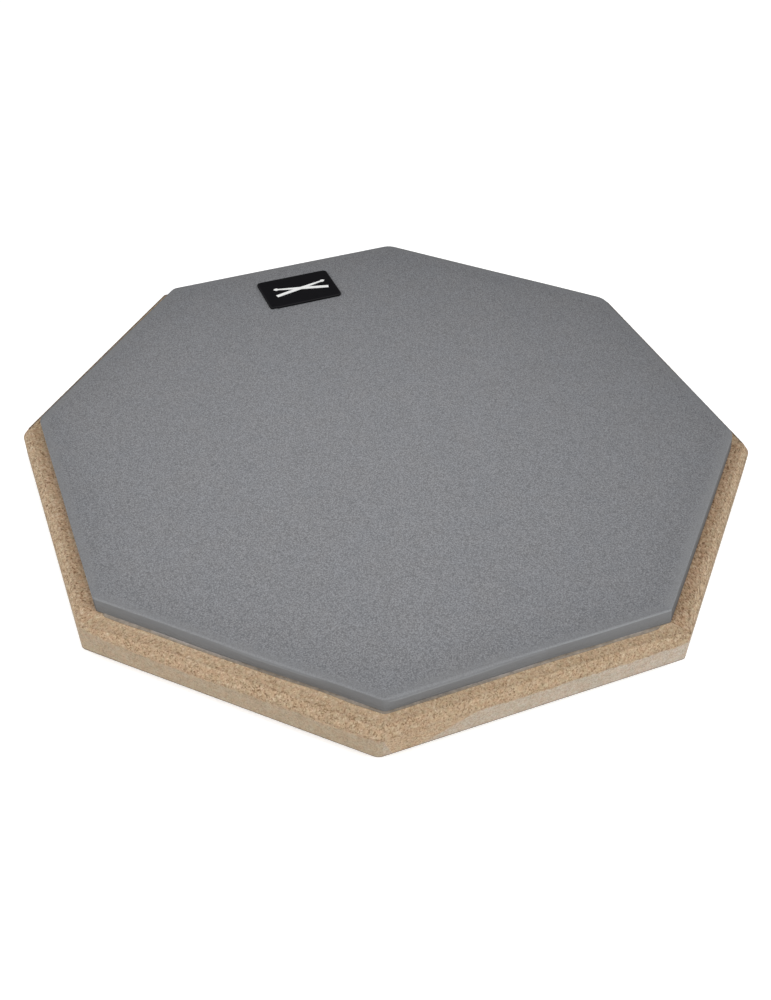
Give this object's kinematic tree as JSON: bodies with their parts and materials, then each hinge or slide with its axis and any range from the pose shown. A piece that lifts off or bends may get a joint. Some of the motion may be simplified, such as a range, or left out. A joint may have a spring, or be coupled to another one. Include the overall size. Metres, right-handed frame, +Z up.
{
  "type": "drum practice pad",
  "caption": "Octagonal drum practice pad: a grey rubber playing sheet and a small black badge glued on a chamfered wood-fibre board, with a non-slip foam rubber sheet underneath.",
  "frame": {"origin": "centre of the octagon, on the surface that the pad stands on", "axes": "+Z up, out of the playing face; +Y towards the side of the octagon that the badge is on; +X to the right as the badge is read"},
  "size_m": [0.305, 0.305, 0.0253],
  "materials": {
    "fibreboard": "raw wood fibre, close on the upright edge and coarsely speckled where the chamfer is cut",
    "grey_rubber": "matte, with a fine stippled grain",
    "foam_rubber": "matte closed-cell foam with a fine pebbled skin",
    "adhesive": "pale translucent glue film",
    "black_badge": "satin, slightly soft",
    "white_print": "opaque white print"
  },
  "bodies": {
    "root": {"base_board": "fibreboard", "playing_pad": "grey_rubber", "non_slip_sheet": "foam_rubber", "pad_adhesive": "adhesive", "underside_adhesive": "adhesive", "badge_adhesive": "adhesive", "badge": "black_badge", "badge_mark": "white_print"}
  },
  "joints": []
}
